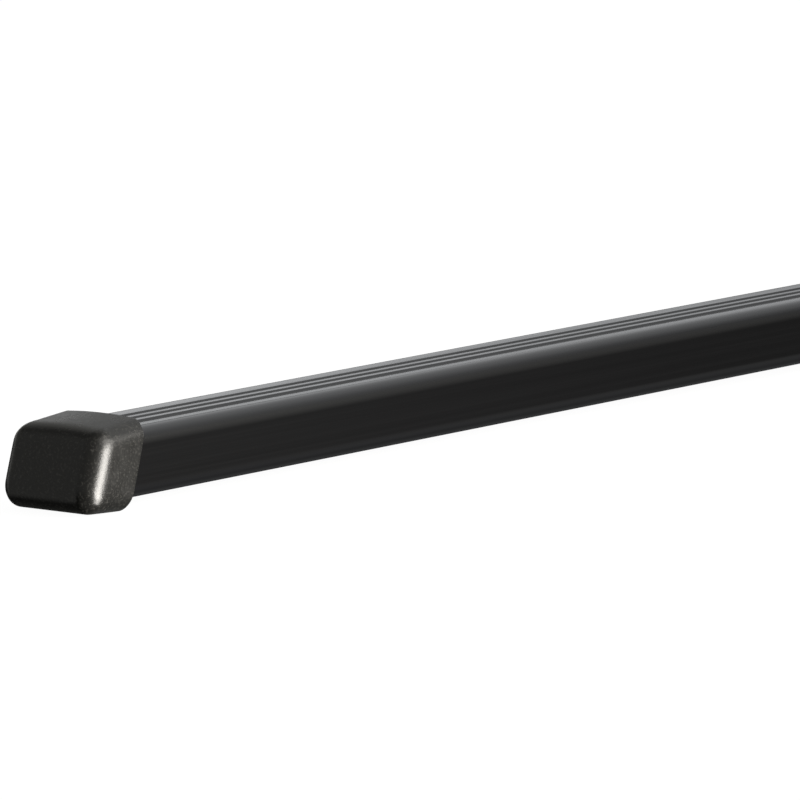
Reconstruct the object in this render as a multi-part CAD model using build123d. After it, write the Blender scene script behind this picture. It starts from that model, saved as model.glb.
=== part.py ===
from build123d import *
from build123d.topology import SkipClean

import os
from math import cos, radians, sin, tan

# Roof rack crossbar: a rectangular steel tube in a ribbed plastic jacket, with a slanted cap pushed on
# each end. Millimetres and degrees. X runs along the bar, Y across it and Z up.
# The origin is at mid-length, on the underside of the jacket.

# The bar
BAR_LENGTH = 1270.0  # tube and jacket, cut off flush
BAR_WIDTH = 32.0  # over the jacket
BAR_HEIGHT = 21.2  # over the jacket, without its ribs
TUBE_WALL = 2.0
TUBE_CORNER = 2.2  # inside radius of the steel's corners
JACKET_WALL = 1.0

# The ribs along the top of the jacket
RIB_COUNT = 3
RIB_PITCH = 5.0
RIB_WIDTH = 2.7
RIB_HEIGHT = 0.55
RIB_EDGE = 0.3  # radius of a crest's two edges

# The outside of a cap, which is a leaning box in side view
SKIRT_WALL_TOP = 1.35  # over the ribs, at the bar's end
SKIRT_WALL_SIDE = 1.5
SKIRT_WALL_UNDER = 2.6  # under the bar, at the bar's end
RIM_OVERLAP = 9.4  # from the bar's end to the rim, at mid-height
RIM_LEAN = 18.0  # the rim's top leans towards the middle of the bar
FACE_REACH = 13.0  # from the bar's end to the end face, at mid-height
FACE_LEAN = 19.5  # the end face's foot stands furthest out
TOP_FLARE = 5.2  # the top rises towards the rim
UNDER_FLARE = 3.0  # the underside falls towards the rim
FACE_ROUND = 6.8  # radius of the end face's top and bottom edge
FLANK_ROUND = 6.5  # radius of the edges of the two flanks
RIM_EDGE = 0.4  # bevel round the rim's outer edge
REST_FLAT = 3.0  # length of the flat under the rim, on which the bar lies

# The inside of a cap
SKIRT_CLEARANCE = 0.25  # between skirt and jacket
FACE_WALL = 2.5
PLUG_LENGTH = 20.0  # from the bar's end
PLUG_WALL = 1.8
PLUG_CLEARANCE = 0.3  # between plug and tube
PLUG_LEAD = 1.0  # chamfer round the plug's tip
CORE_CORNER = 1.0  # bevel of the hollow's corners
CRUSH_RIB_WIDTH = 1.2
CRUSH_RIB_SPACING = 12.0  # between the two on a broad side of the plug
CRUSH_RIB_SETBACK = 3.0  # from the plug's tip
CRUSH_RIB_GAP = 0.05  # between crush rib and tube

# The stretch between the caps, where feet and carriers clamp the bar
CLAMP_GAP = 1.0  # from a cap's rim

TUBE_WIDTH = BAR_WIDTH - 2 * JACKET_WALL
TUBE_HEIGHT = BAR_HEIGHT - 2 * JACKET_WALL
BORE_WIDTH = TUBE_WIDTH - 2 * TUBE_WALL
BORE_HEIGHT = TUBE_HEIGHT - 2 * TUBE_WALL
MIDDLE = BAR_HEIGHT / 2


def rounded_section(width, height, corner):
    """A rounded rectangle across the bar, centred on the tube."""
    return Plane.YZ * Pos(0, MIDDLE) * RectangleRounded(width, height, corner)


def ribbed_section(rib, grow=0.0):
    """The jacket's outside with its row of ribs, grown all round where it makes room for the jacket."""
    corner = TUBE_CORNER + TUBE_WALL + JACKET_WALL + grow
    section = rounded_section(BAR_WIDTH + 2 * grow, BAR_HEIGHT + 2 * grow, corner)
    for number in range(RIB_COUNT):
        across = (number - (RIB_COUNT - 1) / 2) * RIB_PITCH
        section += Plane.YZ * Pos(across, BAR_HEIGHT + grow) * rib
    return section


def side_view_corner(reach, lean, height, flare):
    """Where a leaning end of the cap's side view meets its top or bottom line.

    The leaning line passes mid-height at the given reach from the bar's end, and the other line passes
    the bar's end at the given height.
    """
    slope = tan(radians(lean))
    rise = tan(radians(flare))
    along = (reach + slope * (height - MIDDLE)) / (1 - slope * rise)
    return along, height + rise * along


CAP_TOP = BAR_HEIGHT + RIB_HEIGHT + SKIRT_CLEARANCE + SKIRT_WALL_TOP
CAP_UNDER = -SKIRT_CLEARANCE - SKIRT_WALL_UNDER
RIM_TOP = side_view_corner(RIM_OVERLAP, RIM_LEAN, CAP_TOP, TOP_FLARE)
RIM_UNDER = side_view_corner(RIM_OVERLAP, RIM_LEAN, CAP_UNDER, -UNDER_FLARE)
FACE_TOP = side_view_corner(-FACE_REACH, FACE_LEAN, CAP_TOP, TOP_FLARE)
FACE_UNDER = side_view_corner(-FACE_REACH, FACE_LEAN, CAP_UNDER, -UNDER_FLARE)


def make_tube():
    outside = rounded_section(TUBE_WIDTH, TUBE_HEIGHT, TUBE_CORNER + TUBE_WALL)
    bore = rounded_section(BORE_WIDTH, BORE_HEIGHT, TUBE_CORNER)
    return extrude(outside - bore, amount=BAR_LENGTH / 2, both=True)


def make_jacket():
    """One extrusion, drawn in three lengths so that the stretch between the caps has its own faces."""
    rib = RectangleRounded(RIB_WIDTH, 2 * RIB_HEIGHT, RIB_EDGE)
    inside = rounded_section(TUBE_WIDTH, TUBE_HEIGHT, TUBE_CORNER + TUBE_WALL)
    section = ribbed_section(rib) - inside
    covered = RIM_TOP[0] + CLAMP_GAP
    between_caps = extrude(section, amount=BAR_LENGTH / 2 - covered, both=True)
    left_end = Pos(-BAR_LENGTH / 2, 0, 0) * extrude(section, amount=covered)
    right_end = mirror(left_end, about=Plane.YZ)
    with SkipClean():
        return between_caps + left_end + right_end


def cap_outside():
    """The leaning box: its end is rounded in side view, and then its two flanks all along their edges."""
    outline = Plane.XZ * make_face(Polyline(RIM_TOP, FACE_TOP, FACE_UNDER, RIM_UNDER, close=True))
    side_view = fillet(outline.vertices().sort_by(Axis.X)[:2], FACE_ROUND)
    half_width = BAR_WIDTH / 2 + SKIRT_CLEARANCE + SKIRT_WALL_SIDE
    box = extrude(side_view, amount=half_width, both=True)
    rim = box.faces().sort_by(Axis.X)[-1]
    flanks = box.faces().sort_by(Axis.Y)
    soft = fillet(flanks[0].edges() + flanks[-1].edges() - rim.edges(), FLANK_ROUND)
    soft_rim = soft.faces().sort_by(Axis.X)[-1]
    bevelled = chamfer(soft_rim.edges(), RIM_EDGE)
    rest_level = RIM_UNDER[1] + REST_FLAT * tan(radians(UNDER_FLARE))
    return split(bevelled, bisect_by=Plane.XY.offset(rest_level), keep=Keep.TOP)


def bevelled_section(inset, corner):
    """A rectangle with bevelled corners across the bar, set in from the tube's bore."""
    square = Rectangle(BORE_WIDTH - 2 * inset, BORE_HEIGHT - 2 * inset)
    return Plane.YZ * Pos(0, MIDDLE) * chamfer(square.vertices(), corner)


def cap_plug():
    """The block that enters the tube, with the ribs that are crushed as it is pushed in."""
    block = extrude(bevelled_section(PLUG_CLEARANCE, TUBE_CORNER), amount=PLUG_LENGTH)
    tip = block.faces().sort_by(Axis.X)[-1]
    plug = chamfer(tip.edges(), PLUG_LEAD)
    rib_length = PLUG_LENGTH - CRUSH_RIB_SETBACK
    across_height = Box(rib_length, CRUSH_RIB_WIDTH, BORE_HEIGHT - 2 * CRUSH_RIB_GAP)
    across_width = Box(rib_length, BORE_WIDTH - 2 * CRUSH_RIB_GAP, CRUSH_RIB_WIDTH)
    for side in (-1, 1):
        plug += Pos(rib_length / 2, side * CRUSH_RIB_SPACING / 2, MIDDLE) * across_height
    return plug + Pos(rib_length / 2, 0, MIDDLE) * across_width


def cap_core():
    """The hollow in the plug, which runs back to the end wall and ends parallel to it."""
    section = bevelled_section(PLUG_CLEARANCE + PLUG_WALL, CORE_CORNER)
    hollow = Pos(PLUG_LENGTH, 0, 0) * extrude(section, amount=-(PLUG_LENGTH + 2 * FACE_REACH))
    lean = radians(FACE_LEAN)
    end_wall = Plane(
        origin=(FACE_WALL / cos(lean) - FACE_REACH, 0, MIDDLE),
        x_dir=(0, 1, 0),
        z_dir=(cos(lean), 0, -sin(lean)),
    )
    return split(hollow, bisect_by=end_wall, keep=Keep.TOP)


def make_left_cap():
    """One moulding: the skirt goes over the jacket, the plug into the tube, and the step meets the bar."""
    channel = Rectangle(RIB_WIDTH + 2 * SKIRT_CLEARANCE, 2 * RIB_HEIGHT)
    bar_end = extrude(ribbed_section(channel, SKIRT_CLEARANCE), amount=2 * RIM_TOP[0])
    cap = cap_outside() - bar_end + cap_plug() - cap_core()
    return Pos(-BAR_LENGTH / 2, 0, 0) * cap


left_cap = make_left_cap()
nodes = {
    "steel_tube": make_tube(),
    "ribbed_jacket": make_jacket(),
    "end_cap_left": left_cap,
    "end_cap_right": mirror(left_cap, about=Plane.YZ),
}

os.makedirs("parts", exist_ok=True)
for name, solid in nodes.items():
    export_step(solid, f"parts/{name}.step")
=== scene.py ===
from math import copysign, hypot, pi, radians, tan

import bmesh
import bpy
from mathutils import Matrix, Vector


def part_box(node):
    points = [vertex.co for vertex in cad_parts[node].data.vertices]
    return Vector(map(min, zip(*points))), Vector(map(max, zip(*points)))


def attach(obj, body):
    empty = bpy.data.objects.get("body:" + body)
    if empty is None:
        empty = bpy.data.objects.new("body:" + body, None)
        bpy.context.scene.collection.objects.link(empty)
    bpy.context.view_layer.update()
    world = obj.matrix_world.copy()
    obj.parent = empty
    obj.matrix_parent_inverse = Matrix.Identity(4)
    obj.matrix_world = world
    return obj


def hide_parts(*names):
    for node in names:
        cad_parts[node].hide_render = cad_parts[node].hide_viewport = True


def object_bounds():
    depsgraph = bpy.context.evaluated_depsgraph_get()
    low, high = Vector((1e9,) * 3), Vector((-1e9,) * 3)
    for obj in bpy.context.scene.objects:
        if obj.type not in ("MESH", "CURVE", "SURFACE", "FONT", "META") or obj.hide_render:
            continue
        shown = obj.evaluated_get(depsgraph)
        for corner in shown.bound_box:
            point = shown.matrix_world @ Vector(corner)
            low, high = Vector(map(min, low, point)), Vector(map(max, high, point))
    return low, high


# Roof rack crossbar: the looks of the ribbed black bar and of its two slanted push-on caps.
# Metres. X runs along the bar, Y across it and Z up, with the origin on the underside of the jacket.

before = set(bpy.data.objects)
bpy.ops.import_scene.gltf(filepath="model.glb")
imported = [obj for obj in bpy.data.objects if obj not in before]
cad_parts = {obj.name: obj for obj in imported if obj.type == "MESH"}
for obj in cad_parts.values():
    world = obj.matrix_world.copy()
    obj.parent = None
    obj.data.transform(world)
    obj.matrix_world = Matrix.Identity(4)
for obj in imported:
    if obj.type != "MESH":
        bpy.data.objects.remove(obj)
cad_low, cad_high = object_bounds()
jacket_low, jacket_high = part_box("ribbed_jacket")
tube_low, tube_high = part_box("steel_tube")

MM = 0.001

# The bar, as far as its boxes don't give it
RIB_COUNT = 3
RIB_PITCH = 5.0 * MM
RIB_WIDTH = 2.7 * MM
RIB_HEIGHT = 0.55 * MM
RIB_EDGE = 0.4 * MM
RIB_SLOPE = 1.15 * MM  # how much wider a rib is at its foot than at its crest
TUBE_WALL = 2.0 * MM
TUBE_CORNER = 2.2 * MM
BAR_END = jacket_low.x
BAR_LENGTH = jacket_high.x - jacket_low.x
BAR_WIDTH = jacket_high.y - jacket_low.y
BAR_HEIGHT = jacket_high.z - jacket_low.z - RIB_HEIGHT
BAR_MIDDLE = BAR_HEIGHT / 2
JACKET_WALL = (BAR_WIDTH - (tube_high.y - tube_low.y)) / 2
JACKET_CORNER = TUBE_CORNER + TUBE_WALL + JACKET_WALL
BORE_WIDTH = tube_high.y - tube_low.y - 2 * TUBE_WALL
BORE_HEIGHT = tube_high.z - tube_low.z - 2 * TUBE_WALL

# The outside of a cap, a leaning box in side view
SKIRT_WALL_TOP = 1.45 * MM
SKIRT_WALL_SIDE = 1.5 * MM
SKIRT_WALL_UNDER = 2.55 * MM
SKIRT_CLEARANCE = 0.25 * MM
RIM_OVERLAP = 9.45 * MM
RIM_LEAN = radians(16.7)
FACE_REACH = 12.95 * MM
FACE_LEAN = radians(18.3)
TOP_FLARE = radians(4.8)
UNDER_FLARE = radians(2.9)
ROUND_FACE = 8.9 * MM  # how far the roundings reach from the end face
ROUND_ACROSS = 5.45 * MM  # from a flank
ROUND_TOP = 6.2 * MM  # from the top
ROUND_UNDER = 8.9 * MM  # from the underside, up the end face
ROUND_UNDER_FLANK = 5.6 * MM  # from the underside, up a flank
BROW_POWER = 3.4  # the edge over the end face is squarer than a round one, which has a power of 2
TOP_CROWN = 0.94 * MM  # how far the top falls away towards its edges
FACE_CROWN = 0.05 * MM
FLANK_CROWN = 0.3 * MM
RIM_EDGE = 0.4 * MM  # how far the rim's outer edge is rounded
RIM_SPARE = 5.0 * MM  # the blank is made this much too long and cut off at the rim

# The inside of a cap
FACE_WALL = 2.5 * MM
PLUG_LENGTH = 20.0 * MM
PLUG_SUNK = 1.0 * MM  # how far it reaches into the cap, to join it
PLUG_WALL = 1.8 * MM
PLUG_CLEARANCE = 0.3 * MM
PLUG_LEAD = 1.0 * MM
CORE_CORNER = 1.0 * MM
CORE_SPARE = 1.0 * MM  # how far the cutter stands out of the plug's tip
CRUSH_RIB_WIDTH = 1.2 * MM
CRUSH_RIB_EDGE = 0.1 * MM
CRUSH_RIB_SUNK = 0.5 * MM
CRUSH_RIB_SPACING = 12.0 * MM
CRUSH_RIB_SETBACK = 3.0 * MM
CRUSH_RIB_GAP = 0.05 * MM

# How finely the shapes are drawn
ARC_STEPS = 10
CAP_ARC_STEPS = 10  # in half an edge
CAP_FLAT_STEPS = 8
RIM_EDGE_STEPS = 4
WELD_DISTANCE = 0.001 * MM
SHARP_ANGLE = radians(32.0)
FLAT_FACE_WEIGHT = 80  # how strongly large faces lead the shading of small ones

# The camera
CAMERA_PLACE = (-2.6557, -1.6381, 0.4112)
CAMERA_PITCH = 8.346
CAMERA_YAW = -53.109
FOCAL_PIXELS = 8855.0
FRAME_PIXELS = 800.0
SENSOR = 36.0
CAMERA_REACH = 100.0

# The floor
FLOOR_HALF_WIDTH = 30.0
FLOOR_DARK = 0.12
FLOOR_LIGHT = 0.14
FLOOR_GLOW = 0.96

# The room round the part, by heading: X to the right along the bar, Y to the back and Z up.
# White paper has a brightness of 1, a share multiplies it, and a pair says from where to where a fade runs.
ROOM_LEFT = 0.34
ROOM_RIGHT = 0.98
LEFT_TO_RIGHT = (-0.6, 0.2)  # in X
FRONT_SHARE = 0.65
FRONT_TO_MIDDLE = (-0.7, 0.0)  # in Y
OVERHEAD_SHARE = 0.3
SIDE_TO_OVERHEAD = (0.6, 0.8)  # in Z
OVERHEAD_TO_RIGHT = (0.5, 0.65)  # in X
BACK_LOW_SHARE = 1.1
BACK_HIGH_SHARE = 0.22
BACK_LOW_TO_HIGH = (0.12, 0.24)  # in Z
EVEN_WALL = (-0.3, 0.7)  # in Y
SUDDEN_WALL = (0.5, 0.6)  # in Y
CAP_TO_BAR = (0.75, 0.77)  # in X, between what the left cap and the bar mirror from this camera

# The ground, which is darker towards the back
GROUND_FRONT = 0.19
GROUND_BACK = 0.04
GROUND_TURN_LEFT = -0.3  # in Y, where it starts to darken
GROUND_TURN_RIGHT = 0.3
GROUND_TURN_MOVES = (0.2, 0.6)  # in X
GROUND_DARKENING = 0.3  # in Y, how long that takes

# The haze between ground and room, as heights in Z
HAZE_TOP_FRONT = 0.3
HAZE_TOP_BACK = 0.14
HAZE_TOP_LEFT_BACK = -0.45
HAZE_TOP_FALLS = (0.0, 0.6)  # in Y
HAZE_FOOT_FRONT = -0.2
HAZE_FOOT_BACK = 0.05
HAZE_FOOT_RIGHT = -0.35
HAZE_FOOT_LEFT_BACK = -0.7
HAZE_FOOT_RISES = (0.4, 0.55)  # in Y
HAZE_FOOT_DROPS = (0.85, 0.95)  # in X
LEFT_ENDS = (-0.4, -0.1)  # in X
BACK_BEGINS = (0.1, 0.4)  # in Y

# How the light falls off along the bar
NEAR_SHARE = 1.15
FAR_SHARE = 0.77
FAR_FRONT_SHARE = 0.45
FRONT_TO_BACK = (-0.4, 0.0)  # in Y
GROUND_NEAR_SHARE = 1.45
GROUND_UNDER_SHARE = 0.6
NEAR_TO_UNDER = (-0.45, -0.05)  # in Y
GROUND_TO_SIDE = (-0.4, -0.2)  # in Z
NEAR_TO_FAR = (0.77, 0.82)  # in X

# The colours of the light, cool only where the bar's top and shoulder mirror it
WARM_COLOUR = (1.0, 0.995, 0.95)
COOL_COLOUR = (0.96, 0.977, 1.0)
WARM_TO_COOL_ALONG = (0.68, 0.79)  # in X
WARM_TO_COOL_ACROSS = (-0.6, -0.3)  # in Y

# The lights
LAMP_COLOUR = (1.0, 0.965, 0.91)
SOFTBOXES = {
    "lower_strip": {
        "place": (-0.455, -0.565, -0.33),
        "size": (0.25, 0.26),
        "brightness": 19.0,
    },
    "strip": {
        "place": (-0.455, -0.565, -0.07),
        "size": (0.25, 0.26),
        "brightness": 35.0,
    },
    "middle_strip": {
        "place": (-0.40, -0.545, 0.165),
        "size": (0.24, 0.22),
        "brightness": 15.5,
    },
    "upper_strip": {
        "place": (-0.36, -0.40, 0.356),
        "size": (0.30, 0.30),
        "brightness": 5.5,
    },
}
SOFTBOX_AIM = (-0.64, 0.0, 0.012)
SOFTBOX_SPREAD = radians(120.0)
SPREAD_SHARE = 1 - SOFTBOX_SPREAD / 2 / tan(SOFTBOX_SPREAD / 2)  # a narrow spread makes a light brighter


# Nodes

def feed(tree, socket, value):
    """Links a socket to another node's output, or sets it."""
    if isinstance(value, bpy.types.NodeSocket):
        tree.links.new(value, socket)
    else:
        socket.default_value = value


def add_node(tree, kind, inputs=None, **options):
    """Adds a node with its options set and its inputs fed."""
    made = tree.nodes.new(kind)
    for option, value in options.items():
        setattr(made, option, value)
    for name, value in (inputs or {}).items():
        feed(tree, made.inputs[name], value)
    return made


def calculate(tree, operation, *values):
    """The output of one math node."""
    made = tree.nodes.new("ShaderNodeMath")
    made.operation = operation
    for socket, value in zip(made.inputs, values):
        feed(tree, socket, value)
    return made.outputs[0]


def join_geometry(tree, *parts):
    joined = tree.nodes.new("GeometryNodeJoinGeometry")
    for part in parts:
        tree.links.new(part, joined.inputs[0])
    return joined.outputs[0]


# Finishes

def new_finish(name):
    """A node material: its tree, its shader and the point on the piece that its patterns follow."""
    material = bpy.data.materials.new(name)
    material.use_nodes = True
    tree = material.node_tree
    place = add_node(tree, "ShaderNodeTexCoord").outputs["Object"]
    return material, tree, tree.nodes["Principled BSDF"], place


def stretched_noise(tree, place, stretch, detail):
    """Noise between 0 and 1 whose grain has this many waves a metre along each axis."""
    scaled = add_node(tree, "ShaderNodeMapping", {"Vector": place, "Scale": stretch})
    inputs = {"Vector": scaled.outputs[0], "Scale": 1.0, "Detail": detail, "Roughness": 0.55}
    return add_node(tree, "ShaderNodeTexNoise", inputs).outputs[0]


def between(tree, amount, low, high):
    """A number that follows a pattern from low to high."""
    inputs = {"Value": amount, "From Min": 0.3, "From Max": 0.7, "To Min": low, "To Max": high}
    return add_node(tree, "ShaderNodeMapRange", inputs).outputs[0]


def mixed_colour(tree, amount, first, second):
    made = add_node(tree, "ShaderNodeMix", data_type="RGBA")
    feed(tree, made.inputs[0], amount)
    made.inputs[6].default_value = (*first, 1.0)
    made.inputs[7].default_value = (*second, 1.0)
    return made.outputs[2]


def bumped(tree, height, strength, distance):
    inputs = {"Height": height, "Strength": strength, "Distance": distance}
    return add_node(tree, "ShaderNodeBump", inputs).outputs[0]


def extruded_black():
    """Satin black extrusion: faint streaks along the bar in colour, gloss and relief."""
    material, tree, shader, place = new_finish("extruded_black")
    streaks = stretched_noise(tree, place, (4.0, 900.0, 900.0), 4.0)
    tone = mixed_colour(tree, streaks, (0.0010, 0.0010, 0.0012), (0.0020, 0.0020, 0.0023))
    feed(tree, shader.inputs["Base Color"], tone)
    feed(tree, shader.inputs["Roughness"], between(tree, streaks, 0.12, 0.18))
    feed(tree, shader.inputs["Normal"], bumped(tree, streaks, 0.1, 0.02 * MM))
    shader.inputs["IOR"].default_value = 1.45
    return material


def grained_black():
    """Fine spark-eroded grain of a moulded cap, with pale specks where it has caught dust."""
    material, tree, shader, place = new_finish("grained_black")
    grain = stretched_noise(tree, place, (1500.0, 1500.0, 1500.0), 2.0)
    mottle = stretched_noise(tree, place, (160.0, 160.0, 160.0), 3.0)
    dust = stretched_noise(tree, place, (1300.0, 1300.0, 1300.0), 2.0)
    speck_range = {"Value": dust, "From Min": 0.53, "From Max": 0.8}
    specks = add_node(tree, "ShaderNodeMapRange", speck_range).outputs[0]
    tone = mixed_colour(tree, specks, (0.0028, 0.0027, 0.0022), (0.0380, 0.0367, 0.0335))
    feed(tree, shader.inputs["Base Color"], tone)
    feed(tree, shader.inputs["Roughness"], between(tree, mottle, 0.26, 0.31))
    feed(tree, shader.inputs["Normal"], bumped(tree, grain, 0.5, 0.06 * MM))
    shader.inputs["IOR"].default_value = 1.45
    return material


def galvanised_steel():
    """Dull zinc with its spangle."""
    material, tree, shader, place = new_finish("galvanised_steel")
    flakes = add_node(tree, "ShaderNodeTexVoronoi", {"Vector": place, "Scale": 160.0})
    spangle = flakes.outputs["Color"]
    scratches = stretched_noise(tree, place, (30.0, 1500.0, 1500.0), 3.0)
    shade = add_node(tree, "ShaderNodeSeparateColor", {"Color": spangle}).outputs[0]
    tone = mixed_colour(tree, shade, (0.42, 0.43, 0.44), (0.62, 0.63, 0.64))
    feed(tree, shader.inputs["Base Color"], tone)
    feed(tree, shader.inputs["Roughness"], between(tree, scratches, 0.38, 0.55))
    feed(tree, shader.inputs["Normal"], bumped(tree, scratches, 0.1, 0.02 * MM))
    shader.inputs["Metallic"].default_value = 1.0
    return material


def studio_board(name, dark, light, glow):
    """A matt board with the least unevenness of paint, which may be lit from below."""
    material, tree, shader, place = new_finish(name)
    mottle = stretched_noise(tree, place, (3.0, 3.0, 3.0), 3.0)
    feed(tree, shader.inputs["Base Color"], mixed_colour(tree, mottle, (dark,) * 3, (light,) * 3))
    shader.inputs["Roughness"].default_value = 0.9
    shader.inputs["IOR"].default_value = 1.05
    shader.inputs["Emission Color"].default_value = (1.0, 1.0, 1.0, 1.0)
    shader.inputs["Emission Strength"].default_value = glow
    return material


# Shapes

def new_piece(name, mesh):
    piece = bpy.data.objects.new(name, mesh)
    bpy.context.scene.collection.objects.link(piece)
    return piece


def settled(piece):
    """The piece's mesh with its modifiers taken up, and the piece itself removed."""
    graph = bpy.context.evaluated_depsgraph_get()
    mesh = bpy.data.meshes.new_from_object(piece.evaluated_get(graph))
    bpy.data.objects.remove(piece)
    return mesh


def dressed(name, mesh):
    """A finished piece whose flat faces shade flat and whose rounded edges shade round."""
    mesh.shade_smooth()
    mesh.set_sharp_from_angle(angle=SHARP_ANGLE)
    draft = new_piece(name + "_draft", mesh)
    weighted = draft.modifiers.new("flat_faces_lead", "WEIGHTED_NORMAL")
    weighted.keep_sharp = True
    weighted.weight = FLAT_FACE_WEIGHT
    finished = settled(draft)
    finished.name = name
    return new_piece(name, finished)


RIBBED_BAR_SIZES = {
    "Start": "NodeSocketFloat",
    "Length": "NodeSocketFloat",
    "Width": "NodeSocketFloat",
    "Height": "NodeSocketFloat",
    "Corner": "NodeSocketFloat",
    "Middle": "NodeSocketFloat",
    "Hollow": "NodeSocketBool",
    "Wall": "NodeSocketFloat",
    "Rib Count": "NodeSocketInt",
    "Rib Pitch": "NodeSocketFloat",
    "Rib Width": "NodeSocketFloat",
    "Rib Height": "NodeSocketFloat",
    "Rib Edge": "NodeSocketFloat",
    "Rib Slope": "NodeSocketFloat",
    "Arc Steps": "NodeSocketInt",
    "Finish": "NodeSocketMaterial",
}


def ribbed_bar_tree():
    """A straight extrusion with a row of ribs on its top, drawn as a section and then given its length.

    The section lies in the XY plane, with the middle of the bar at the origin, and is turned up at the end.
    """
    tree = bpy.data.node_groups.new("ribbed_bar", "GeometryNodeTree")
    for name, kind in RIBBED_BAR_SIZES.items():
        tree.interface.new_socket(name=name, in_out="INPUT", socket_type=kind)
    tree.interface.new_socket(name="Bar", in_out="OUTPUT", socket_type="NodeSocketGeometry")
    size = tree.nodes.new("NodeGroupInput").outputs

    def rounded_rectangle(width, height, corner):
        shape = add_node(tree, "GeometryNodeCurvePrimitiveQuadrilateral", {"Width": width, "Height": height})
        inputs = {"Curve": shape.outputs[0], "Radius": corner, "Count": size["Arc Steps"]}
        return add_node(tree, "GeometryNodeFilletCurve", inputs, mode="POLY").outputs[0]

    outside = rounded_rectangle(size["Width"], size["Height"], size["Corner"])

    two_walls = calculate(tree, "MULTIPLY", size["Wall"], 2.0)
    bore = rounded_rectangle(
        calculate(tree, "SUBTRACT", size["Width"], two_walls),
        calculate(tree, "SUBTRACT", size["Height"], two_walls),
        calculate(tree, "SUBTRACT", size["Corner"], size["Wall"]),
    )
    bore = add_node(tree, "GeometryNodeSwitch", {"Switch": size["Hollow"], "True": bore}).outputs[0]

    # One rib stands on the line Y = 0, and only the two corners of its crest are rounded
    half_rib = calculate(tree, "MULTIPLY", size["Rib Height"], 0.5)
    half_slope = calculate(tree, "MULTIPLY", size["Rib Slope"], 0.5)
    inputs = {
        "Height": size["Rib Height"],
        "Bottom Width": calculate(tree, "ADD", size["Rib Width"], half_slope),
        "Top Width": calculate(tree, "SUBTRACT", size["Rib Width"], half_slope),
        "Offset": 0.0,
    }
    block = add_node(tree, "GeometryNodeCurvePrimitiveQuadrilateral", inputs, mode="TRAPEZOID").outputs[0]
    raised = add_node(tree, "ShaderNodeCombineXYZ", {"Y": half_rib}).outputs[0]
    standing = add_node(tree, "GeometryNodeSetPosition", {"Geometry": block, "Offset": raised}).outputs[0]
    place = tree.nodes.new("GeometryNodeInputPosition").outputs[0]
    height = add_node(tree, "ShaderNodeSeparateXYZ", {"Vector": place}).outputs["Y"]
    on_crest = calculate(tree, "GREATER_THAN", height, half_rib)
    edge = calculate(tree, "MULTIPLY", size["Rib Edge"], on_crest)
    inputs = {"Curve": standing, "Radius": edge, "Count": size["Arc Steps"]}
    rib = add_node(tree, "GeometryNodeFilletCurve", inputs, mode="POLY").outputs[0]

    # The row of ribs stands on the top line of the section
    gaps = calculate(tree, "SUBTRACT", size["Rib Count"], 1.0)
    row = calculate(tree, "MULTIPLY", gaps, size["Rib Pitch"])
    first = add_node(tree, "ShaderNodeCombineXYZ", {
        "X": calculate(tree, "MULTIPLY", row, -0.5),
        "Y": calculate(tree, "MULTIPLY", size["Height"], 0.5),
    }).outputs[0]
    step = add_node(tree, "ShaderNodeCombineXYZ", {"X": size["Rib Pitch"]}).outputs[0]
    inputs = {"Count": size["Rib Count"], "Start Location": first, "Offset": step}
    feet = add_node(tree, "GeometryNodeMeshLine", inputs, mode="OFFSET").outputs[0]
    inputs = {"Points": feet, "Instance": rib}
    row_of_ribs = add_node(tree, "GeometryNodeInstanceOnPoints", inputs).outputs[0]
    ribs = add_node(tree, "GeometryNodeRealizeInstances", {"Geometry": row_of_ribs}).outputs[0]

    outline = join_geometry(tree, outside, ribs, bore)
    section = add_node(tree, "GeometryNodeFillCurve", {"Curve": outline}, mode="NGONS").outputs[0]
    inputs = {
        "Mesh": section,
        "Offset": (0.0, 0.0, 1.0),
        "Offset Scale": size["Length"],
        "Individual": False,
    }
    drawn_out = add_node(tree, "GeometryNodeExtrudeMesh", inputs, mode="FACES").outputs[0]
    cut_end = add_node(tree, "GeometryNodeFlipFaces", {"Mesh": section}).outputs[0]
    closed = join_geometry(tree, cut_end, drawn_out)
    inputs = {"Geometry": closed, "Distance": WELD_DISTANCE}
    welded = add_node(tree, "GeometryNodeMergeByDistance", inputs).outputs[0]

    moved = add_node(tree, "ShaderNodeCombineXYZ", {"X": size["Start"], "Z": size["Middle"]}).outputs[0]
    turned_up = (radians(90.0), 0.0, radians(90.0))
    inputs = {"Geometry": welded, "Translation": moved, "Rotation": turned_up}
    lying = add_node(tree, "GeometryNodeTransform", inputs).outputs[0]
    real = add_node(tree, "GeometryNodeRealizeInstances", {"Geometry": lying}).outputs[0]
    inputs = {"Geometry": real, "Material": size["Finish"]}
    finished = add_node(tree, "GeometryNodeSetMaterial", inputs).outputs[0]
    end = tree.nodes.new("NodeGroupOutput")
    tree.links.new(finished, end.inputs[0])
    return tree


def ribbed_bar(tree, start, length, finish, grow=0.0, hollow=True):
    """The mesh of a stretch of the bar, or of the room for it where it is grown all round."""
    sizes = {
        "Start": start,
        "Length": length,
        "Width": BAR_WIDTH + 2 * grow,
        "Height": BAR_HEIGHT + 2 * grow,
        "Corner": JACKET_CORNER + grow,
        "Middle": BAR_MIDDLE,
        "Hollow": hollow,
        "Wall": JACKET_WALL,
        "Rib Count": RIB_COUNT,
        "Rib Pitch": RIB_PITCH,
        "Rib Width": RIB_WIDTH + 2 * grow,
        "Rib Height": RIB_HEIGHT,
        "Rib Edge": RIB_EDGE,
        "Rib Slope": RIB_SLOPE,
        "Arc Steps": ARC_STEPS,
        "Finish": finish,
    }
    bar = new_piece("ribbed_bar_draft", bpy.data.meshes.new("ribbed_bar_draft"))
    drawing = bar.modifiers.new("ribbed_bar", "NODES")
    drawing.node_group = tree
    for socket in tree.interface.items_tree:
        if socket.in_out == "INPUT":
            drawing[socket.identifier] = sizes[socket.name]
    return settled(bar)


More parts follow.
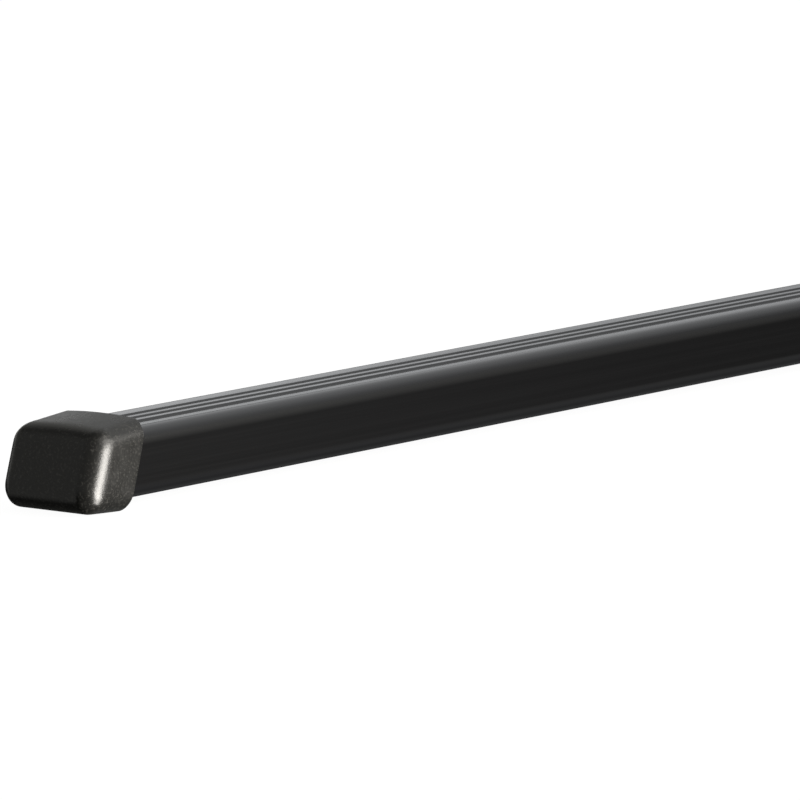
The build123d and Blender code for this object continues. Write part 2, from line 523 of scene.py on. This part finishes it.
def side_view_corner(reach, lean, height, flare):
    """Where a leaning end of the cap's side view meets its top or bottom line."""
    slope = tan(lean)
    rise = tan(flare)
    along = (reach + slope * (height - BAR_MIDDLE)) / (1 - slope * rise)
    return Vector((along, height + rise * along))


CAP_TOP = BAR_HEIGHT + RIB_HEIGHT + SKIRT_CLEARANCE + SKIRT_WALL_TOP
CAP_UNDER = -SKIRT_CLEARANCE - SKIRT_WALL_UNDER
CAP_HALF_WIDTH = BAR_WIDTH / 2 + SKIRT_CLEARANCE + SKIRT_WALL_SIDE
RIM_TOP = side_view_corner(RIM_OVERLAP, RIM_LEAN, CAP_TOP, TOP_FLARE)
RIM_UNDER = side_view_corner(RIM_OVERLAP, RIM_LEAN, CAP_UNDER, -UNDER_FLARE)
FACE_TOP = side_view_corner(-FACE_REACH, FACE_LEAN, CAP_TOP, TOP_FLARE)
FACE_UNDER = side_view_corner(-FACE_REACH, FACE_LEAN, CAP_UNDER, -UNDER_FLARE)


def crowded_lines(length, start_round, end_round):
    """Distances along a side of the blank at which its grid lines run, crowded where an end is rounded."""
    flat = length - start_round - end_round
    lines = [start_round + flat * step / CAP_FLAT_STEPS for step in range(CAP_FLAT_STEPS + 1)]
    for step in range(1, CAP_ARC_STEPS + 1):
        rolled = 1 - tan(radians(45.0) * step / CAP_ARC_STEPS)
        if start_round:
            lines.append(start_round * rolled)
        if end_round:
            lines.append(length - end_round * rolled)
    return sorted(lines)


def cap_blank():
    """The outside of the left cap as a closed solid: a leaning box with its edges rolled off.

    The box is drawn straight, as a grid with sharp edges. Each grid point is rolled off round a smaller
    box inside, its faces fall away a little towards their edges, and the whole is then leaned into its
    side view.
    """
    length = ((RIM_TOP - FACE_TOP).length + (RIM_UNDER - FACE_UNDER).length) / 2
    height = (FACE_TOP - FACE_UNDER).length
    along = crowded_lines(length + RIM_SPARE, ROUND_FACE, 0.0)
    up = crowded_lines(height, ROUND_UNDER, ROUND_TOP)
    wide = crowded_lines(2 * CAP_HALF_WIDTH, ROUND_ACROSS, ROUND_ACROSS)
    across = [line - CAP_HALF_WIDTH for line in wide]
    last_along, last_up, last_across = len(along) - 1, len(up) - 1, len(across) - 1

    shape = bmesh.new()
    grid = {}

    def leaned(x, y, z):
        """A place of the straight box, given from the foot of the end face, in the leaning side view."""
        under = FACE_UNDER.lerp(RIM_UNDER, x / length)
        top = FACE_TOP.lerp(RIM_TOP, x / length)
        side = under.lerp(top, z / height)
        return BAR_END + side.x, y, side.y

    def grid_point(i, j, k):
        """One point of the box's grid, rolled off and crowned."""
        if (i, j, k) in grid:
            return grid[i, j, k]
        x, y, z = along[i], across[k], up[j]
        into_face = max(0.0, 1 - x / ROUND_FACE)
        into_flank = max(0.0, 1 - (CAP_HALF_WIDTH - abs(y)) / ROUND_ACROSS)
        into_top = max(0.0, 1 - (height - z) / ROUND_TOP)
        sideways = hypot(into_face, into_flank)
        face_share = (into_face / sideways) ** 2 if sideways else 0.0
        flank_share = (1 - face_share) ** 2
        under_round = ROUND_UNDER + (ROUND_UNDER_FLANK - ROUND_UNDER) * flank_share
        into_under = max(0.0, 1 - z / under_round)
        sharp = Vector((into_face, copysign(into_flank, y), into_top - into_under))
        power = 2 + (BROW_POWER - 2) * face_share if into_top else 2.0
        reach = (sideways ** power + abs(sharp.z) ** power) ** (1 / power)
        rolled = sharp / reach
        off_middle = (y / CAP_HALF_WIDTH) ** 2
        off_mid_height = (2 * z / height - 1) ** 2
        upright_round = ROUND_TOP if into_top else under_round
        x += ROUND_FACE * (sharp.x - rolled.x) + FACE_CROWN * off_middle * rolled.x
        y -= ROUND_ACROSS * (sharp.y - rolled.y) + FLANK_CROWN * off_mid_height * rolled.y
        z -= upright_round * (sharp.z - rolled.z) + TOP_CROWN * off_middle * max(0.0, rolled.z)
        grid[i, j, k] = shape.verts.new(leaned(x, y, z))
        return grid[i, j, k]

    def panel(corner, first, second):
        """A sheet of the grid from one corner of the box along two index directions."""
        for a in range(first[1]):
            for b in range(second[1]):
                quad = []
                for da, db in ((0, 0), (1, 0), (1, 1), (0, 1)):
                    index = list(corner)
                    index[first[0]] += a + da
                    index[second[0]] += b + db
                    quad.append(grid_point(*index))
                shape.faces.new(quad)

    panel((0, 0, 0), (0, last_along), (2, last_across))
    panel((0, last_up, 0), (0, last_along), (2, last_across))
    panel((0, 0, 0), (1, last_up), (2, last_across))
    panel((0, 0, 0), (0, last_along), (1, last_up))
    panel((0, 0, last_across), (0, last_along), (1, last_up))

    # The rim is cut off square to its lean, closed, and its edge is broken
    rim_line = RIM_TOP - RIM_UNDER
    rim_normal = Vector((rim_line.y, 0.0, -rim_line.x)).normalized()
    rim_place = Vector((BAR_END + RIM_UNDER.x, 0.0, RIM_UNDER.y))
    everything = list(shape.verts) + list(shape.edges) + list(shape.faces)
    bmesh.ops.bisect_plane(shape, geom=everything, plane_co=rim_place, plane_no=rim_normal, clear_outer=True)
    rim_edges = [edge for edge in shape.edges if edge.is_boundary]
    bmesh.ops.contextual_create(shape, geom=rim_edges)
    bmesh.ops.recalc_face_normals(shape, faces=list(shape.faces))
    rim_edges = [edge for edge in shape.edges if edge.calc_face_angle(0.0) > SHARP_ANGLE]
    bmesh.ops.bevel(
        shape,
        geom=rim_edges,
        offset=RIM_EDGE,
        segments=RIM_EDGE_STEPS,
        profile=0.5,
        affect="EDGES",
    )

    # No point leaves the box of the solid that the cap stands for
    for vert in shape.verts:
        vert.co.y = min(max(vert.co.y, cad_low.y), cad_high.y)
        vert.co.z = max(vert.co.z, cad_low.z)
    return mesh_of(shape, "cap_blank")


def mesh_of(shape, name):
    mesh = bpy.data.meshes.new(name)
    shape.to_mesh(mesh)
    shape.free()
    return mesh


def bevelled_rectangle(width, height, bevel):
    """The corners of a rectangle across the bar with its corners cut off."""
    w, h = width / 2, height / 2
    quarter = [(w, h - bevel), (w - bevel, h)]
    points = quarter + [(-y, z) for y, z in reversed(quarter)]
    return points + [(-y, -z) for y, z in points]


def block_between(shape, stations):
    """Adds a closed block to a shape through outlines of equal count, each given with its place along X."""
    loops = []
    for x, outline in stations:
        loops.append([shape.verts.new((BAR_END + x, y, BAR_MIDDLE + z)) for y, z in outline])
    for first, second in zip(loops, loops[1:]):
        count = len(first)
        for index in range(count):
            after = (index + 1) % count
            shape.faces.new((first[index], first[after], second[after], second[index]))
    shape.faces.new(loops[0])
    shape.faces.new(loops[-1])
    bmesh.ops.recalc_face_normals(shape, faces=list(shape.faces))


def plug_block():
    """The block that enters the tube, sunk a little into the cap so that it joins it."""
    width = BORE_WIDTH - 2 * PLUG_CLEARANCE
    height = BORE_HEIGHT - 2 * PLUG_CLEARANCE
    full = bevelled_rectangle(width, height, TUBE_CORNER)
    tip = bevelled_rectangle(width - 2 * PLUG_LEAD, height - 2 * PLUG_LEAD, TUBE_CORNER - PLUG_LEAD / 2)
    shape = bmesh.new()
    block_between(shape, [(-PLUG_SUNK, full), (PLUG_LENGTH - PLUG_LEAD, full), (PLUG_LENGTH, tip)])
    return mesh_of(shape, "plug_block")


def crush_rib(across, width, height):
    shape = bmesh.new()
    outline = bevelled_rectangle(width, height, CRUSH_RIB_EDGE)
    moved = [(y + across, z) for y, z in outline]
    block_between(shape, [(-CRUSH_RIB_SUNK, moved), (PLUG_LENGTH - CRUSH_RIB_SETBACK, moved)])
    return mesh_of(shape, "crush_rib")


def core_block():
    """The hollow in the plug, which runs back to the end wall and ends parallel to it."""
    inset = 2 * (PLUG_CLEARANCE + PLUG_WALL)
    outline = bevelled_rectangle(BORE_WIDTH - inset, BORE_HEIGHT - inset, CORE_CORNER)
    shape = bmesh.new()
    block_between(shape, [(-2 * FACE_REACH, outline), (PLUG_LENGTH + CORE_SPARE, outline)])
    tilt = Matrix.Rotation(FACE_LEAN, 3, "Y")
    wall_normal = tilt @ Vector((-1.0, 0.0, 0.0))
    depth = Vector((BAR_END - FACE_REACH, 0.0, BAR_MIDDLE)) - wall_normal * FACE_WALL
    everything = list(shape.verts) + list(shape.edges) + list(shape.faces)
    bmesh.ops.bisect_plane(shape, geom=everything, plane_co=depth, plane_no=wall_normal, clear_outer=True)
    open_edges = [edge for edge in shape.edges if edge.is_boundary]
    bmesh.ops.contextual_create(shape, geom=open_edges)
    bmesh.ops.recalc_face_normals(shape, faces=list(shape.faces))
    return mesh_of(shape, "core_block")


def combined(blank, steps):
    """The blank after a row of cuts and additions."""
    piece = new_piece("cap_draft", blank)
    tools = []
    for operation, mesh in steps:
        tool = new_piece("tool_draft", mesh)
        change = piece.modifiers.new(operation.lower(), "BOOLEAN")
        change.operation = operation
        change.solver = "EXACT"
        change.object = tool
        tools.append(tool)
    mesh = settled(piece)
    for tool in tools:
        bpy.data.objects.remove(tool)
    return mesh


def left_cap_mesh(tree):
    """The blank with room for the bar's end, its plug with crush ribs, and the hollow in the plug."""
    room = ribbed_bar(tree, BAR_END, 2 * RIM_TOP.x, None, SKIRT_CLEARANCE, False)
    long_rib = BORE_HEIGHT - 2 * CRUSH_RIB_GAP
    wide_rib = BORE_WIDTH - 2 * CRUSH_RIB_GAP
    return combined(cap_blank(), [
        ("DIFFERENCE", room),
        ("UNION", plug_block()),
        ("UNION", crush_rib(-CRUSH_RIB_SPACING / 2, CRUSH_RIB_WIDTH, long_rib)),
        ("UNION", crush_rib(CRUSH_RIB_SPACING / 2, CRUSH_RIB_WIDTH, long_rib)),
        ("UNION", crush_rib(0.0, wide_rib, CRUSH_RIB_WIDTH)),
        ("DIFFERENCE", core_block()),
    ])


def mirrored(mesh, name):
    """The same mesh on the other end of the bar, with its faces turned out again."""
    shape = bmesh.new()
    shape.from_mesh(mesh)
    for vert in shape.verts:
        vert.co.x = -vert.co.x
    bmesh.ops.reverse_faces(shape, faces=list(shape.faces))
    return mesh_of(shape, name)


# Pieces

ribbed_bar_nodes = ribbed_bar_tree()
cap_finish = grained_black()

jacket = dressed("ribbed_skin", ribbed_bar(ribbed_bar_nodes, BAR_END, BAR_LENGTH, extruded_black()))
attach(jacket, "bar")
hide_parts("ribbed_jacket")

left_mesh = left_cap_mesh(ribbed_bar_nodes)
right_mesh = mirrored(left_mesh, "right_cap_mesh")
for name, mesh, body, node in (
    ("left_cap_moulding", left_mesh, "left_cap", "end_cap_left"),
    ("right_cap_moulding", right_mesh, "right_cap", "end_cap_right"),
):
    mesh.materials.clear()
    mesh.materials.append(cap_finish)
    cap = dressed(name, mesh)
    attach(cap, body)
    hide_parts(node)

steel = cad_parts["steel_tube"]
steel.data.materials.clear()
steel.data.materials.append(galvanised_steel())


# Stage

def board(name, finish):
    """A wide level board under the part."""
    shape = bmesh.new()
    bmesh.ops.create_grid(shape, x_segments=1, y_segments=1, size=FLOOR_HALF_WIDTH)
    made = new_piece(name, mesh_of(shape, name))
    made.location.z = cad_low.z
    made.data.materials.append(finish)
    return made


# The floor is a light table: the camera sees it, and the part mirrors only the room round it
floor = board("floor", studio_board("white_board", FLOOR_DARK, FLOOR_LIGHT, FLOOR_GLOW))
floor.visible_diffuse = False
floor.visible_glossy = False
floor.visible_shadow = False

world = bpy.data.worlds.new("studio")
world.use_nodes = True
sky = world.node_tree
heading = add_node(sky, "ShaderNodeSeparateXYZ", {
    "Vector": add_node(sky, "ShaderNodeTexCoord").outputs["Generated"],
}).outputs


def fading(value, stretch, low, high, change="SMOOTHSTEP"):
    """A number that goes from low to high as a value goes through a stretch."""
    start, end = stretch
    inputs = {"Value": value, "From Min": start, "From Max": end, "To Min": low, "To Max": high}
    return add_node(sky, "ShaderNodeMapRange", inputs, interpolation_type=change).outputs[0]


# The back wall is dim above the horizon, and gets so evenly up to the right and suddenly at the far right
back = fading(heading["Z"], BACK_LOW_TO_HIGH, BACK_LOW_SHARE, BACK_HIGH_SHARE)
even_wall = fading(heading["Y"], EVEN_WALL, 1.0, back, "LINEAR")
sudden_wall = fading(heading["Y"], SUDDEN_WALL, 1.0, back)
wall = fading(heading["X"], CAP_TO_BAR, even_wall, sudden_wall)
room = calculate(sky, "MULTIPLY", wall, ROOM_RIGHT)

# The front and the place overhead are dim too, and so is the whole left side
room = calculate(sky, "MULTIPLY", room, fading(heading["Y"], FRONT_TO_MIDDLE, FRONT_SHARE, 1.0))
overhead = fading(heading["X"], OVERHEAD_TO_RIGHT, OVERHEAD_SHARE, 1.0)
room = calculate(sky, "MULTIPLY", room, fading(heading["Z"], SIDE_TO_OVERHEAD, 1.0, overhead))
room = fading(heading["X"], LEFT_TO_RIGHT, ROOM_LEFT, room)

ground_turn = fading(heading["X"], GROUND_TURN_MOVES, GROUND_TURN_LEFT, GROUND_TURN_RIGHT)
ground_dark = calculate(sky, "ADD", ground_turn, GROUND_DARKENING)
ground = fading(heading["Y"], (ground_turn, ground_dark), GROUND_FRONT, GROUND_BACK)

# The room meets the ground in a haze, which lies low behind the left end of the bar
to_left = fading(heading["X"], LEFT_ENDS, 1.0, 0.0)
left_back = calculate(sky, "MULTIPLY", to_left, fading(heading["Y"], BACK_BEGINS, 0.0, 1.0))
haze_top = fading(heading["Y"], HAZE_TOP_FALLS, HAZE_TOP_FRONT, HAZE_TOP_BACK)
haze_top = fading(left_back, (0.0, 1.0), haze_top, HAZE_TOP_LEFT_BACK)
haze_foot = fading(heading["Y"], HAZE_FOOT_RISES, HAZE_FOOT_FRONT, HAZE_FOOT_BACK)
haze_foot = fading(heading["X"], HAZE_FOOT_DROPS, haze_foot, HAZE_FOOT_RIGHT)
haze_foot = fading(left_back, (0.0, 1.0), haze_foot, HAZE_FOOT_LEFT_BACK)
brightness = fading(heading["Z"], (haze_foot, haze_top), ground, room)

# The bar mirrors less light the further off it is, but its lower edge has the same ground all along
far = fading(heading["Y"], FRONT_TO_BACK, FAR_FRONT_SHARE, FAR_SHARE)
on_ground = fading(heading["Y"], NEAR_TO_UNDER, GROUND_NEAR_SHARE, GROUND_UNDER_SHARE)
far = fading(heading["Z"], GROUND_TO_SIDE, on_ground, far)
near = fading(heading["Z"], GROUND_TO_SIDE, on_ground, NEAR_SHARE)
along_bar = fading(heading["X"], NEAR_TO_FAR, near, far)
along_bar = fading(heading["X"], CAP_TO_BAR, NEAR_SHARE, along_bar)
brightness = calculate(sky, "MULTIPLY", brightness, along_bar)

cool_across = fading(heading["Y"], WARM_TO_COOL_ACROSS, 0.0, 1.0)
coolness = fading(heading["X"], WARM_TO_COOL_ALONG, 0.0, cool_across)
background = sky.nodes["Background"].inputs
feed(sky, background["Strength"], brightness)
feed(sky, background["Color"], mixed_colour(sky, coolness, WARM_COLOUR, COOL_COLOUR))
bpy.context.scene.world = world

for name, box in SOFTBOXES.items():
    light = bpy.data.lights.new(name, "AREA")
    light.shape = "RECTANGLE"
    light.size, light.size_y = box["size"]
    light.color = LAMP_COLOUR
    light.spread = SOFTBOX_SPREAD
    light.energy = box["brightness"] * pi * light.size * light.size_y * SPREAD_SHARE
    softbox = new_piece(name, light)
    softbox.location = box["place"]
    facing = Vector(box["place"]) - Vector(SOFTBOX_AIM)
    softbox.rotation_euler = facing.to_track_quat("Z", "Y").to_euler()
    softbox.visible_camera = False

camera_data = bpy.data.cameras.new("camera")
camera_data.sensor_fit = "HORIZONTAL"
camera_data.sensor_width = SENSOR
camera_data.lens = FOCAL_PIXELS / FRAME_PIXELS * SENSOR
camera_data.clip_end = CAMERA_REACH
camera = new_piece("camera", camera_data)
camera.location = CAMERA_PLACE
camera.rotation_euler = (radians(90.0 - CAMERA_PITCH), 0.0, radians(CAMERA_YAW))
bpy.context.scene.camera = camera
bpy.context.scene.view_settings.view_transform = "Standard"
